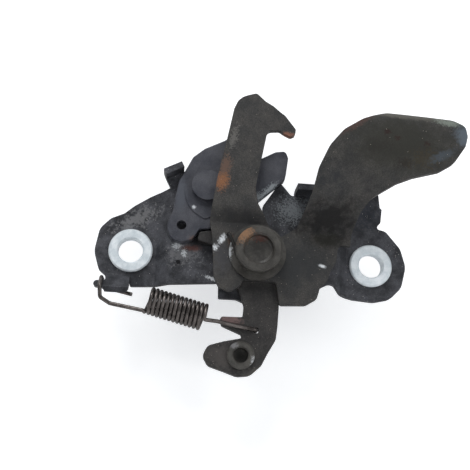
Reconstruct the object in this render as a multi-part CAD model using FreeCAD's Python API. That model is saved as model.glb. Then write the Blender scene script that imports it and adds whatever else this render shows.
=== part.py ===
import FreeCAD
import Part
import math
import os

V = FreeCAD.Vector

# Frame: plate in the XZ plane, Y = 0 on the mounting face, front towards -Y, hook up.
# The origin is midway between the two mounting holes.

# Mounting
HOLE_PITCH = 96.0
COLLAR_BORE_R = 4.85
COLLAR_SLEEVE_R = 5.9
COLLAR_FLANGE_R = 8.6
COLLAR_FLANGE_T = 1.4
COLLAR_BEVEL = 0.5

# Running fits and gaps
RUNNING = 0.05
SEAT = 0.02
GAP = 0.3

# Base plate
BASE_T = 2.5
RAISE = 4.0
BASE_BEND_R = 1.2
BASE_FRONT = -(RAISE + BASE_T)
TAB_T = 2.5

# Claw on its rivet
CLAW_X = -19.5
CLAW_Z = 26.0
CLAW_T = 3.5
CLAW_RIVET_R = 4.0
CLAW_LIP_R = 6.2
CLAW_LIP_T = 0.5
CLAW_PAD_T = 0.5
CLAW_REAR = BASE_FRONT - GAP
CLAW_FRONT = CLAW_REAR - CLAW_T
TAIL_X = -28.7
TAIL_Z = 9.7
TAIL_HOLE_R = 1.9

# Levers on the main rivet
PIVOT_X = 1.0
PIVOT_Z = -0.4
PIVOT_R = 6.0
PAWL_T = 3.5
PAWL_REAR = BASE_FRONT - GAP
PAWL_FRONT = PAWL_REAR - PAWL_T
CATCH_T = 2.5
CATCH_REAR = PAWL_FRONT - GAP
CATCH_FRONT = CATCH_REAR - CATCH_T
ARM_RAISE = 3.1
ARM_REAR = CATCH_REAR - ARM_RAISE

# Main rivet head, its washers and the coil between them
WASHER_R = PIVOT_R + 5.0
WASHER_T = 1.0
WASHER_FRONT = CATCH_FRONT - GAP - WASHER_T
HEAD_R = PIVOT_R + 2.9
HEAD_T = 3.0
HEAD_GAP = 3.3
HEAD_REAR = WASHER_FRONT - HEAD_GAP
HEAD_FRONT = HEAD_REAR - HEAD_T
DISH_R = PIVOT_R - 0.4
DISH_DEPTH = 2.9
REAR_WASHER_R = PIVOT_R + 3.5
REAR_WASHER_T = 0.8
REAR_HEAD_R = PIVOT_R + 2.0
REAR_HEAD_T = 2.2

# Springs
PAWL_WIRE_R = 0.76
PAWL_COIL_R = 4.6
PAWL_TURNS = 13
CATCH_WIRE_R = 0.65
CATCH_COIL_R = PIVOT_R + CATCH_WIRE_R + 0.75
CLAW_WIRE_R = 0.5
CLAW_COIL_R = 5.4
CLAW_PIN_R = 4.7
TANG_RUN = 2.3
TANG_DEPTH = 3.0

# Cable bush in the foot of the pawl lever
BUSH_X = -3.5
BUSH_Z = -39.5
BUSH_BORE_R = 2.8
BUSH_SLEEVE_R = 4.1
BUSH_FLANGE_R = 5.2
BUSH_FLANGE_T = 1.8
BUSH_REAR_R = 4.9
BUSH_REAR_T = 0.8
BUSH_FLOOR = 1.2


def facing(y):
    """Place a drawn (x, z) point at one depth."""
    return lambda a, b: V(a, y, b)


def sideways(x):
    """Place a drawn (y, z) point at one width."""
    return lambda a, b: V(x, a, b)


def level(z):
    """Place a drawn (x, y) point at one height."""
    return lambda a, b: V(a, b, z)


def outline(corners, place):
    """Closed wire through drawn (a, b, radius) corners, rounded by tangent arcs."""
    points = []
    count = len(corners)
    for i in range(count):
        before = corners[i - 1]
        radius = corners[i][2]
        after = corners[(i + 1) % count]
        centre = place(corners[i][0], corners[i][1])
        a = place(before[0], before[1]) - centre
        b = place(after[0], after[1]) - centre
        reach = min(a.Length, b.Length) * 0.48
        a.normalize()
        b.normalize()
        half = a.getAngle(b) / 2
        if radius <= 0 or half > math.pi / 2 - 0.02:
            points.append((centre, None, centre))
            continue
        cut = min(radius / math.tan(half), reach)
        radius = cut * math.tan(half)
        start = centre + a * cut
        end = centre + b * cut
        inward = (a + b).normalize()
        middle = centre + inward * (radius / math.sin(half) - radius)
        points.append((start, middle, end))
    edges = []
    for i in range(count):
        start, middle, end = points[i]
        if middle is not None:
            edges.append(Part.Arc(start, middle, end).toShape())
        follow = points[(i + 1) % count][0]
        if (follow - end).Length > 1e-6:
            edges.append(Part.makeLine(end, follow))
    return Part.Wire(edges)


def prism(corners, front, rear):
    """Solid between two depths with a rounded outline."""
    return Part.Face(outline(corners, facing(front))).extrude(V(0, rear - front, 0))


def folded(section, low, high):
    """Bent sheet with a rounded (y, z) section, run along X."""
    return Part.Face(outline(section, sideways(low))).extrude(V(high - low, 0, 0))


def sheet_section(spine, thickness, inner):
    """Section corners of a sheet whose rear face follows the spine points."""
    count = len(spine)
    normals = []
    for i in range(count - 1):
        dx = spine[i + 1][0] - spine[i][0]
        dz = spine[i + 1][1] - spine[i][1]
        length = math.hypot(dx, dz)
        normals.append((-dz / length, dx / length))
    rear = []
    front = []
    for i in range(count):
        if i == 0 or i == count - 1:
            nx, nz = normals[0 if i == 0 else -1]
            scale = thickness
            turn = 0.0
        else:
            ax, az = normals[i - 1]
            bx, bz = normals[i]
            nx, nz = ax + bx, az + bz
            length = math.hypot(nx, nz)
            nx, nz = nx / length, nz / length
            scale = thickness / (nx * ax + nz * az)
            turn = ax * bz - az * bx
        wide = inner + thickness
        radius_rear = 0.0 if turn == 0 else (wide if turn > 0 else inner)
        radius_front = 0.0 if turn == 0 else (inner if turn > 0 else wide)
        rear.append((spine[i][0], spine[i][1], radius_rear))
        front.append((spine[i][0] + nx * scale, spine[i][1] + nz * scale, radius_front))
    return rear + front[::-1]


def disc(x, z, radius, front, rear):
    """Cylinder along Y between two depths."""
    return Part.makeCylinder(radius, rear - front, V(x, front, z), V(0, 1, 0))


def turned(x, z, profile):
    """Solid of revolution about the Y axis through (x, z), from (radius, y) corners."""
    points = [V(x + r, y, z) for r, y in profile]
    points.append(points[0])
    face = Part.Face(Part.makePolygon(points))
    return face.revolve(V(x, 0, z), V(0, 1, 0), 360)


def bent_path(corners, bend):
    """Edges along straight lengths joined by tangent bends."""
    edges = []
    last = corners[0]
    for i in range(1, len(corners) - 1):
        corner = corners[i]
        a = corners[i - 1] - corner
        b = corners[i + 1] - corner
        reach = min(a.Length, b.Length) * 0.45
        a.normalize()
        b.normalize()
        half = a.getAngle(b) / 2
        cut = min(bend / math.tan(half), reach)
        fitted = cut * math.tan(half)
        middle = corner + (a + b).normalize() * (fitted / math.sin(half) - fitted)
        edges.append(Part.makeLine(last, corner + a * cut))
        edges.append(Part.Arc(corner + a * cut, middle, corner + b * cut).toShape())
        last = corner + b * cut
    edges.append(Part.makeLine(last, corners[-1]))
    return edges


def coil_path(start, axis, across, side, radius, rise, halves, flat_turn):
    """Edges of a coil in tilted half turns, each rising along the axis, then a flat arc.

    Every half turn begins and ends square to the axis, so the turns join without a kink.
    """
    edges = []
    for i in range(halves):
        sign = 1 if i % 2 == 0 else -1
        low = start + across * (sign * radius) + axis * (rise * i)
        high = start - across * (sign * radius) + axis * (rise * (i + 1))
        centre = (low + high) * 0.5
        edges.append(Part.Arc(low, centre + side * (sign * (high - low).Length / 2), high).toShape())
    if flat_turn > 0:
        sign = 1 if halves % 2 == 0 else -1
        hub = start + axis * (rise * halves)
        points = []
        for part in (0.0, 0.5, 1.0):
            angle = 2 * math.pi * flat_turn * part
            points.append(hub + across * (sign * radius * math.cos(angle))
                          + side * (sign * radius * math.sin(angle)))
        edges.append(Part.Arc(*points).toShape())
    return edges


def wire_along(edges, start, direction, radius):
    """Solid round wire along edges that join without kinks."""
    section = Part.Wire(Part.makeCircle(radius, start, direction))
    return Part.Wire(edges).makePipeShell([section], True, False, 0)


def torsion_spring(centre, radius, wire, span, hand, extra_turns, first_leg, last_leg):
    """Torsion coil about Y with legs that leave it on tangents.

    The first leg ends beside the coil's start, the last leg begins beside its end.
    """
    rear, front = span
    start_target = first_leg[-1] - centre
    end_target = last_leg[0] - centre
    start_lead = math.acos(radius / math.hypot(start_target.x, start_target.z))
    end_lead = math.acos(radius / math.hypot(end_target.x, end_target.z))
    begin = math.atan2(start_target.z, start_target.x) + hand * start_lead
    finish = math.atan2(end_target.z, end_target.x) - hand * end_lead
    turns = (hand * (finish - begin) / (2 * math.pi)) % 1.0 + extra_turns
    halves = int(turns * 2)
    across = V(math.cos(begin), 0, math.sin(begin))
    side = V(-math.sin(begin), 0, math.cos(begin)) * hand
    base = V(centre.x, rear, centre.z)
    start = base + across * radius
    end = V(centre.x + radius * math.cos(finish), front, centre.z + radius * math.sin(finish))
    level = V(last_leg[0].x, front, last_leg[0].z) - end
    lead = [end] if abs(last_leg[0].y - front) < 1e-6 else [end, end + level * 0.3]
    path = bent_path(first_leg + [start], wire * 2)
    path += coil_path(base, V(0, -1, 0), across, side, radius, (rear - front) / halves, halves,
                      turns - halves / 2)
    path += bent_path(lead + last_leg, wire * 2)
    return wire_along(path, first_leg[0], first_leg[1] - first_leg[0], wire)


def inward_tang(centre, radius, angle, hand):
    """Corner and end of a leg that leaves a coil at one angle and turns in to its core."""
    out = V(math.cos(angle), 0, math.sin(angle))
    along = V(-math.sin(angle), 0, math.cos(angle)) * hand
    corner = centre + out * radius + along * TANG_RUN
    return [corner, corner - out * TANG_DEPTH]


def drilled(tang, wire):
    """Blind hole that a tang sits in."""
    corner, end = tang
    way = end - corner
    return Part.makeCylinder(wire + RUNNING, way.Length + 0.4, corner, way)


def softened(solid, keep, radius):
    """Round the edges that the test picks, leaving the solid as it was if it can't be done."""
    edges = [edge for edge in solid.Edges if keep(edge)]
    if not edges:
        return solid
    rounded = solid.makeFillet(radius, edges)
    return rounded if rounded.isValid() and rounded.Volume > 0 else solid


def in_plane(y, depth=0.01):
    """Test for edges lying in the plane at one depth."""
    def test(edge):
        box = edge.BoundBox
        return abs(box.YMin - y) < depth and abs(box.YMax - y) < depth
    return test


# Base plate

BASE_OUTLINE = [
    (-62.2, -1.0, 9), (-60.8, 8.5, 6), (-56.8, 12.8, 4), (-51.7, 15.2, 4),
    (-47.9, 18.6, 3), (-42.1, 22.6, 3), (-38.6, 24.6, 1), (-31.2, 27.2, 1),
    (-26.0, 33.0, 4), (-14.0, 38.5, 5), (-8.6, 36.5, 1.5), (-1.4, 14.2, 2.2),
    (3.4, 14.2, 2.2), (3.2, 21.0, 2), (9.9, 31.6, 1), (14.6, 26.2, 1.5),
    (27.0, 26.2, 1), (34.0, 30.5, 3), (47.0, 32.5, 3), (51.6, 31.4, 2),
    (52.2, 25.0, 0.5), (53.0, 24.4, 0.6), (52.4, 18.6, 1.5), (50.2, 16.0, 1),
    (54.5, 15.0, 3), (60.5, 8.0, 6), (62.6, 0.5, 7), (60.6, -8.2, 6),
    (56.0, -13.0, 5), (49.5, -14.6, 5), (40.8, -14.0, 4), (35.2, -12.6, 2),
    (31.5, -8.6, 3), (27.4, -10.8, 3), (20.0, -17.6, 4), (8.0, -18.6, 3),
    (-3.4, -18.6, 1), (-5.9, -17.6, 1), (-12.8, -17.6, 0.6), (-13.0, -11.6, 0.8),
    (-33.0, -13.2, 3), (-47.4, -14.2, 1), (-47.4, -12.2, 0), (-56.6, -12.2, 0),
    (-57.2, -10.2, 0.6), (-59.8, -8.2, 3),
]
DIMPLE_X = -29.1
DIMPLE_Z = -4.3
DIMPLE_R = 0.9
ANCHOR_LOW = -56.0
ANCHOR_HIGH = -48.0
ANCHOR_TOP = -11.0
ANCHOR_LEAN = math.radians(48)
ANCHOR_REACH = 10.5


def base_sheet():
    """The joggled sheet before its outline is cut."""
    spine = [
        (-70, 0), (-37.2, 0), (-32.2, -RAISE), (32.4, -RAISE), (37.4, 0), (70, 0),
    ]
    section = sheet_section(spine[::-1], BASE_T, BASE_BEND_R)
    return Part.Face(outline(section, level(-60))).extrude(V(0, 0, 120))


def tab(low, high, top, lean, reach, slope):
    """Tab bent forward from the raised centre, leaning up by lean, its edge sloping up right."""
    root = BASE_FRONT + BASE_T
    run = math.cos(lean) * reach
    rise = math.sin(lean) * reach
    spine = [(root, top - 9.0), (root, top), (root - run, top + rise)]
    bent = folded(sheet_section(spine, TAB_T, 0.3), low, high)
    bent.rotate(V((low + high) / 2, 0, top), V(0, 1, 0), -slope)
    return bent


def anchor():
    """Tab leaning down and forward from the left ear, with the finger that holds the spring."""
    down = math.cos(ANCHOR_LEAN)
    out = math.sin(ANCHOR_LEAN)
    spine = [
        (-out * ANCHOR_REACH, ANCHOR_TOP - down * ANCHOR_REACH), (0.0, ANCHOR_TOP),
        (0.0, ANCHOR_TOP + 5.0),
    ]
    body = folded(sheet_section(spine, BASE_T, 1.0), ANCHOR_LOW - 6, ANCHOR_HIGH + 2)
    cut = prism([
        (ANCHOR_LOW - 4.6, -13.4, 1.2), (ANCHOR_LOW - 4.6, -16.2, 1.2),
        (ANCHOR_LOW - 1.0, -16.6, 1.0), (ANCHOR_LOW + 0.6, -19.5, 0.8),
        (ANCHOR_HIGH - 2.2, -20.5, 0.8), (ANCHOR_HIGH + 0.6, -16.4, 0.8),
        (ANCHOR_HIGH + 0.6, ANCHOR_TOP + 3, 0), (ANCHOR_LOW - 0.6, ANCHOR_TOP + 3, 0),
        (ANCHOR_LOW - 0.6, -13.2, 0.5),
    ], -20, 5)
    return body.common(cut)


def base_plate():
    """The stamped plate that everything is riveted to."""
    plate = base_sheet().common(prism(BASE_OUTLINE, -20, 20))
    # both stop tabs stand square to the plate, the left one sloping up to the right
    plate = plate.fuse([
        tab(-37.6, -29.8, 31.2 + TAB_T, 0.0, 8.0, 28.0),
        tab(16.0, 24.5, 26.2 + TAB_T, 0.0, 11.0, 0.0),
        anchor(),
    ])
    plate = plate.removeSplitter()
    for x in (-HOLE_PITCH / 2, HOLE_PITCH / 2):
        plate = plate.cut(disc(x, 0, COLLAR_SLEEVE_R + SEAT, -10, 10))
    plate = plate.cut(disc(CLAW_X, CLAW_Z, CLAW_RIVET_R + SEAT, -20, 20))
    plate = plate.cut(disc(PIVOT_X, PIVOT_Z, PIVOT_R + SEAT, -20, 20))
    return plate.cut(disc(DIMPLE_X, DIMPLE_Z, DIMPLE_R, -20, BASE_FRONT + 1.2))


def mount_collar(x):
    """Flanged collar seated in one ear hole."""
    face = -BASE_T
    return turned(x, 0, [
        (COLLAR_BORE_R, 0), (COLLAR_SLEEVE_R, 0), (COLLAR_SLEEVE_R, face - SEAT),
        (COLLAR_FLANGE_R, face - SEAT), (COLLAR_FLANGE_R, face - COLLAR_FLANGE_T + COLLAR_BEVEL),
        (COLLAR_FLANGE_R - COLLAR_BEVEL, face - COLLAR_FLANGE_T),
        (COLLAR_BORE_R + COLLAR_BEVEL, face - COLLAR_FLANGE_T),
        (COLLAR_BORE_R, face - COLLAR_FLANGE_T + COLLAR_BEVEL),
    ])


# Claw

CLAW_OUTLINE = [
    (-34.4, 9.6, 5), (-32.4, 15.5, 3), (-31.8, 21.5, 6), (-30.8, 28.0, 6),
    (-28.1, 33.6, 4), (-25.9, 38.4, 3), (-21.4, 42.4, 5), (-13.5, 46.6, 5),
    (-8.0, 51.5, 5), (-5.0, 57.0, 1.5), (-1.2, 56.4, 1.5), (-1.6, 51.0, 4),
    (-7.6, 44.0, 3.8), (-4.6, 37.6, 3.8), (1.5, 39.9, 6), (7.2, 43.2, 3),
    (11.3, 43.9, 1.6), (12.5, 41.0, 2), (11.7, 33.8, 2), (11.2, 31.2, 1.2),
    (9.8, 30.1, 1.5), (0.1, 20.9, 2), (-5.2, 20.2, 0.8), (-9.2, 12.6, 0.6),
    (-12.6, 10.6, 6), (-18.4, 8.9, 5), (-21.6, 8.6, 1.0), (-24.3, 4.3, 1.5),
    (-28.6, 2.6, 4), (-33.2, 4.6, 5),
]
PAD_OUTLINE = [
    (-28.4, 23.5, 6), (-27.8, 28.4, 6), (-25.6, 32.0, 6), (-21.5, 36.2, 6), (-15.0, 38.4, 5),
    (-9.0, 36.0, 5), (-7.5, 28.0, 6), (-9.6, 19.0, 5), (-13.0, 16.0, 4), (-19.9, 12.6, 2),
    (-24.5, 15.4, 6), (-27.0, 18.6, 6),
]
CLAW_HOLE_X = -9.4
CLAW_HOLE_Z = 30.6
CLAW_HOLE_R = 0.7


def claw():
    """The fork on its rivet, with a raised pad, a tail hole and a hole for its spring."""
    body = prism(CLAW_OUTLINE, CLAW_FRONT, CLAW_REAR)
    body = softened(body, in_plane(CLAW_FRONT), 0.5)
    body = body.fuse(prism(PAD_OUTLINE, CLAW_FRONT - CLAW_PAD_T, CLAW_REAR - 1))
    body = body.cut(disc(CLAW_X, CLAW_Z, CLAW_RIVET_R + RUNNING, -40, 10))
    body = body.cut(disc(CLAW_HOLE_X, CLAW_HOLE_Z, CLAW_HOLE_R, -40, 10))
    return body.cut(disc(TAIL_X, TAIL_Z, TAIL_HOLE_R, -40, 10))


CLAW_SPRING_REAR = CLAW_FRONT - CLAW_PAD_T - CLAW_WIRE_R - RUNNING
CLAW_SPRING_FRONT = ARM_REAR + GAP + CLAW_LIP_T + CLAW_WIRE_R + RUNNING
CLAW_TANG = inward_tang(V(CLAW_X, CLAW_SPRING_FRONT, CLAW_Z), CLAW_COIL_R, math.radians(-20), -1)


def claw_rivet():
    """Shouldered rivet with a lip that keeps the claw's spring and a hole for its tang."""
    lip_front = ARM_REAR + GAP
    shoulder = CLAW_FRONT - CLAW_PAD_T - RUNNING
    rivet = turned(CLAW_X, CLAW_Z, [
        (0, -RAISE + 2.2), (5.2, -RAISE + 2.2), (6.2, -RAISE + 1.2), (6.2, -RAISE + SEAT),
        (CLAW_RIVET_R, -RAISE + SEAT), (CLAW_RIVET_R, shoulder), (CLAW_PIN_R, shoulder),
        (CLAW_PIN_R, lip_front + CLAW_LIP_T), (CLAW_LIP_R, lip_front + CLAW_LIP_T),
        (CLAW_LIP_R, lip_front), (0, lip_front),
    ])
    return rivet.cut(drilled(CLAW_TANG, CLAW_WIRE_R))


def claw_spring():
    """Torsion coil round the claw rivet, from the claw's hole to the rivet's."""
    held = [V(CLAW_HOLE_X, CLAW_REAR - CLAW_T / 2, CLAW_HOLE_Z),
            V(CLAW_HOLE_X, CLAW_SPRING_REAR, CLAW_HOLE_Z)]
    return torsion_spring(V(CLAW_X, 0, CLAW_Z), CLAW_COIL_R, CLAW_WIRE_R,
                          (CLAW_SPRING_REAR, CLAW_SPRING_FRONT), -1, 0, held, CLAW_TANG)


# Safety catch

ARM_OUTLINE = [
    (-15.4, -10.1, 3), (-13.3, -14.4, 2), (-8.9, -16.2, 3), (-5.0, -13.6, 1), (-4.0, -11.2, 1.5),
    (8.6, -11.2, 1.5), (10.2, -20.2, 1.2), (20.3, -19.6, 3), (24.4, -17.0, 2), (25.6, -12.6, 1),
    (28.2, -9.9, 1.5), (29.6, -5.8, 3), (31.9, -1.8, 3), (32.2, 3.0, 4), (34.2, 6.2, 2),
    (37.4, 8.0, 1), (37.4, 9.6, 0), (16.1, 10.7, 0.8), (10.8, 7.0, 3), (8.3, 6.4, 2.5),
    (5.6, 10.0, 5), (0.3, 18.6, 6), (-1.0, 25.1, 8), (1.0, 37.4, 10), (3.0, 49.6, 2.2),
    (7.8, 50.2, 2), (9.9, 48.8, 2), (12.4, 47.7, 1.2), (14.1, 48.6, 1.0), (14.4, 51.0, 1.2),
    (9.9, 56.7, 2), (7.9, 58.1, 2), (5.2, 60.4, 2), (1.7, 62.4, 2), (-1.9, 65.7, 1.5),
    (-5.4, 64.5, 2), (-7.4, 63.6, 2), (-9.3, 61.8, 2), (-10.8, 58.2, 2), (-13.0, 45.1, 8),
    (-16.1, 27.7, 10), (-17.6, 15.7, 4), (-17.8, 11.0, 3), (-16.6, 5.0, 4), (-15.9, -3.0, 6),
]
PADDLE_OUTLINE = [
    (16.1, 5.0, 0), (16.0, 10.6, 2), (18.0, 16.0, 6), (20.0, 22.4, 8), (21.8, 31.1, 8),
    (25.1, 38.7, 8), (30.4, 45.4, 8), (37.8, 50.4, 8), (47.7, 55.0, 6), (54.5, 54.7, 6),
    (62.9, 54.1, 6), (73.0, 53.1, 4), (77.8, 50.2, 3), (78.6, 46.1, 3), (77.6, 42.0, 3),
    (73.3, 35.3, 5), (68.0, 32.0, 5), (58.0, 29.2, 6), (51.8, 26.6, 5), (45.6, 22.6, 3),
    (42.4, 20.4, 4), (39.2, 16.1, 4), (37.6, 10.4, 4), (37.4, 5.0, 0),
]
CATCH_HOLE_X = -10.4
CATCH_HOLE_Z = 6.4
CATCH_HOLE_R = 0.8
def safety_catch():
    """Hook arm, pivot plate and finger paddle folded from one sheet."""
    arm_spine = [(CATCH_REAR, -30), (CATCH_REAR, 11.8), (ARM_REAR, 17.4), (ARM_REAR, 80)]
    arm = folded(sheet_section(arm_spine, CATCH_T, 1.0), -30, 40)
    arm = arm.common(prism(ARM_OUTLINE, -60, 20))
    lean = math.tan(math.radians(50))
    crown = math.tan(math.radians(14))
    first = CATCH_REAR - 12.0 * lean
    paddle_spine = [
        (CATCH_REAR, 2.0), (CATCH_REAR, 9.2), (first, 21.2), (first - 20 * crown, 41.2),
        (first - 21 * crown, 50.6), (first - 21 * crown + 8.0, 58.6),
    ]
    paddle = folded(sheet_section(paddle_spine, CATCH_T, 3.0), 0, 90)
    paddle = paddle.common(prism(PADDLE_OUTLINE, -60, 20))
    body = arm.fuse(paddle).removeSplitter()
    body = body.cut(disc(PIVOT_X, PIVOT_Z, PIVOT_R + RUNNING, -40, 10))
    return body.cut(disc(CATCH_HOLE_X, CATCH_HOLE_Z, CATCH_HOLE_R, -40, 10))


# Main pivot

CATCH_SPRING_REAR = WASHER_FRONT - CATCH_WIRE_R - RUNNING
CATCH_SPRING_FRONT = HEAD_REAR + CATCH_WIRE_R + RUNNING
CATCH_TANG = inward_tang(V(PIVOT_X, CATCH_SPRING_FRONT, PIVOT_Z), CATCH_COIL_R,
                         math.radians(60), 1)


def main_rivet():
    """Dished rivet that carries both levers, with a hole for the catch spring's tang."""
    rear = -RAISE + SEAT + REAR_WASHER_T + SEAT
    rivet = turned(PIVOT_X, PIVOT_Z, [
        (0, rear + REAR_HEAD_T - 1.2), (3.0, rear + REAR_HEAD_T - 0.8),
        (4.0, rear + REAR_HEAD_T), (REAR_HEAD_R - 1.2, rear + REAR_HEAD_T),
        (REAR_HEAD_R, rear + REAR_HEAD_T - 0.9), (REAR_HEAD_R, rear),
        (PIVOT_R, rear), (PIVOT_R, HEAD_REAR), (HEAD_R, HEAD_REAR),
        (HEAD_R, HEAD_FRONT + 0.7), (HEAD_R - 0.7, HEAD_FRONT), (DISH_R + 0.6, HEAD_FRONT),
        (DISH_R, HEAD_FRONT + 0.6), (DISH_R - 0.3, HEAD_FRONT + DISH_DEPTH - 0.5),
        (DISH_R - 1.3, HEAD_FRONT + DISH_DEPTH), (0, HEAD_FRONT + DISH_DEPTH + 0.4),
    ])
    return rivet.cut(drilled(CATCH_TANG, CATCH_WIRE_R))


def ring(x, z, outer, inner, front, rear):
    """Flat washer."""
    return disc(x, z, outer, front, rear).cut(disc(x, z, inner, front - 1, rear + 1))


# Pawl lever

PAWL_OUTLINE = [
    (-21.6, 7.4, 0.8), (-18.2, 8.2, 0.8), (-12.0, 7.8, 3), (-6.0, 8.4, 4), (4.0, 9.1, 6),
    (12.0, 5.8, 7), (13.6, -3.0, 8), (10.0, -12.0, 6), (10.4, -20.9, 8), (10.1, -28.0, 6),
    (9.6, -33.0, 4), (6.6, -38.4, 6), (4.4, -43.0, 4), (0.4, -46.8, 5), (-4.5, -47.4, 4),
    (-9.4, -45.8, 5), (-15.6, -43.9, 3), (-17.8, -40.2, 3), (-16.0, -36.4, 3),
    (-10.0, -34.5, 4), (-3.4, -33.0, 1.5), (-3.5, -31.6, 0.8), (-11.2, -28.6, 1.2),
    (-12.0, -25.2, 1.0), (-3.2, -25.0, 1.0), (-2.9, -20.5, 3), (-6.4, -12.5, 6),
    (-10.5, -5.0, 8), (-12.5, 1.5, 6), (-22.2, 4.2, 1.0),
]
EYE_X = 2.0
EYE_Z = -29.8
EYE_R = 1.1


def pawl_lever():
    """Nose, spring finger and foot in one blank on the main rivet."""
    body = prism(PAWL_OUTLINE, PAWL_FRONT, PAWL_REAR)
    body = softened(body, in_plane(PAWL_FRONT), 0.4)
    body = body.cut(disc(PIVOT_X, PIVOT_Z, PIVOT_R + RUNNING, -40, 10))
    body = body.cut(disc(BUSH_X, BUSH_Z, BUSH_SLEEVE_R + SEAT, -40, 10))
    return body.cut(disc(EYE_X, EYE_Z, EYE_R, -40, 10))


def cable_bush():
    """Flanged cup for the cable's end, turned over behind the foot."""
    front = PAWL_FRONT - SEAT - BUSH_FLANGE_T
    rear = PAWL_REAR + SEAT
    floor = rear + BUSH_REAR_T - BUSH_FLOOR
    return turned(BUSH_X, BUSH_Z, [
        (0, floor), (BUSH_BORE_R, floor),
        (BUSH_BORE_R, front + 0.5), (BUSH_BORE_R + 0.5, front), (BUSH_FLANGE_R - 0.6, front),
        (BUSH_FLANGE_R, front + 0.6), (BUSH_FLANGE_R, PAWL_FRONT - SEAT),
        (BUSH_SLEEVE_R, PAWL_FRONT - SEAT), (BUSH_SLEEVE_R, rear), (BUSH_REAR_R, rear),
        (BUSH_REAR_R - 0.3, rear + BUSH_REAR_T), (0, rear + BUSH_REAR_T),
    ])


# Springs

def pawl_spring():
    """Extension coil between the anchor finger and the pawl lever's eye."""
    left = V(-39.4, -9.0, -20.5)
    right = V(-17.8, -9.0, -25.8)
    axis = (right - left).normalize()
    down = V(0, 1, 0).cross(axis)
    side = V(0, 1, 0)
    halves = 2 * PAWL_TURNS + 1
    rise = (right - left).Length / (halves + 0.5)
    radius = PAWL_COIL_R
    start = left + down * radius
    turning = left - down * radius + axis * (rise * halves)
    end = turning + down * radius - side * math.hypot(radius, rise / 2) + axis * (rise / 2)
    final = (down * (2 * radius) + axis * rise).normalize()
    coil = coil_path(left, axis, down, side, radius, rise, halves, 0)
    middle = turning + (down * radius + axis * (rise / 2)) * (1 - math.sqrt(0.5)) \
        - side * (math.hypot(radius, rise / 2) * math.sqrt(0.5))
    coil.append(Part.Arc(turning, middle, end).toShape())
    hook = [
        V(-46.0, -3.4, -17.6), V(-56.4, -1.7, -15.2), V(-57.9, -1.3, -12.1),
        V(-57.9, -7.0, -12.1), V(-57.9, -10.8, -16.2), V(-57.4, -10.4, -20.6),
        V(-53.6, -10.4, -22.8), start - side * 2.2 - axis * 0.4, start,
    ]
    eye = [
        end, end + final * 1.6, V(-12.6, -12.4, -27.6), V(-5.0, -11.3, -28.9),
        V(EYE_X, -11.3, EYE_Z), V(EYE_X, -5.8, EYE_Z), V(EYE_X - 3.2, -5.6, EYE_Z + 0.2),
    ]
    hook[-2] = start - side * 2.2
    path = bent_path(hook, 1.6) + coil + bent_path(eye, 1.3)
    return wire_along(path, hook[0], hook[1] - hook[0], PAWL_WIRE_R)


def catch_spring():
    """Torsion coil under the main rivet's head, from the catch plate's hole to the rivet's."""
    held = [V(CATCH_HOLE_X, CATCH_REAR - 0.6, CATCH_HOLE_Z),
            V(CATCH_HOLE_X, CATCH_SPRING_REAR, CATCH_HOLE_Z)]
    return torsion_spring(V(PIVOT_X, 0, PIVOT_Z), CATCH_COIL_R, CATCH_WIRE_R,
                          (CATCH_SPRING_REAR, CATCH_SPRING_FRONT), 1, 0, held, CATCH_TANG)


def exported(name, shape):
    """Write one piece as a STEP file."""
    if shape.ShapeType == "Compound" and len(shape.Solids) == 1:
        shape = shape.Solids[0]
    print(name, shape.ShapeType, len(shape.Solids), shape.isValid(), round(shape.Volume, 1))
    shape.exportStep(os.path.join("parts", name + ".step"))


def main():
    """Build and write every piece."""
    os.makedirs("parts", exist_ok=True)
    exported("base_plate", base_plate())
    exported("left_mount_collar", mount_collar(-HOLE_PITCH / 2))
    exported("right_mount_collar", mount_collar(HOLE_PITCH / 2))
    exported("claw", claw())
    exported("claw_rivet", claw_rivet())
    exported("safety_catch", safety_catch())
    exported("main_rivet", main_rivet())
    exported("pivot_washer", ring(PIVOT_X, PIVOT_Z, WASHER_R, PIVOT_R + SEAT, WASHER_FRONT,
                                  WASHER_FRONT + WASHER_T))
    exported("rear_washer", ring(PIVOT_X, PIVOT_Z, REAR_WASHER_R, PIVOT_R + SEAT, -RAISE + SEAT,
                                 -RAISE + SEAT + REAR_WASHER_T))
    exported("pawl_lever", pawl_lever())
    exported("cable_bush", cable_bush())
    exported("claw_spring", claw_spring())
    exported("safety_catch_spring", catch_spring())
    exported("pawl_spring", pawl_spring())


main()
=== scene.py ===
"""Hood latch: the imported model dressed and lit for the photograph's view."""

from __future__ import annotations

import functools
import logging
import math
from dataclasses import dataclass, field
from enum import Enum
from typing import Union

import bpy
from mathutils import Matrix, Vector

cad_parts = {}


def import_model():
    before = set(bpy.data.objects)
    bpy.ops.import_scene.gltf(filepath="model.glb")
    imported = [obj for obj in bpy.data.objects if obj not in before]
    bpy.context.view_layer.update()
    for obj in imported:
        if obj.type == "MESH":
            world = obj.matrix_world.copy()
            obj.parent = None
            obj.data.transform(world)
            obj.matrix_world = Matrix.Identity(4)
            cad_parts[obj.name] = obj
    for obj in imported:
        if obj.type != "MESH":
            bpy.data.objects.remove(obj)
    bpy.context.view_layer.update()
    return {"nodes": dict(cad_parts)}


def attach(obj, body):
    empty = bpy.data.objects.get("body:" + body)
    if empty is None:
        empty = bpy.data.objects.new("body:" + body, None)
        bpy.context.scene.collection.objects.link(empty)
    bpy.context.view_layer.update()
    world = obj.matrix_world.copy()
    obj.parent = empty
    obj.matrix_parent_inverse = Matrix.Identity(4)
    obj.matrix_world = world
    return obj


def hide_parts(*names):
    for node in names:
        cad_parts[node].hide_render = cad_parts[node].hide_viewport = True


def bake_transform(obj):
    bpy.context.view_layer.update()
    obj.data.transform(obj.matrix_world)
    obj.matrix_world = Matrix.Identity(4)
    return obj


log = logging.getLogger("latch")

MM = 0.001

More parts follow.
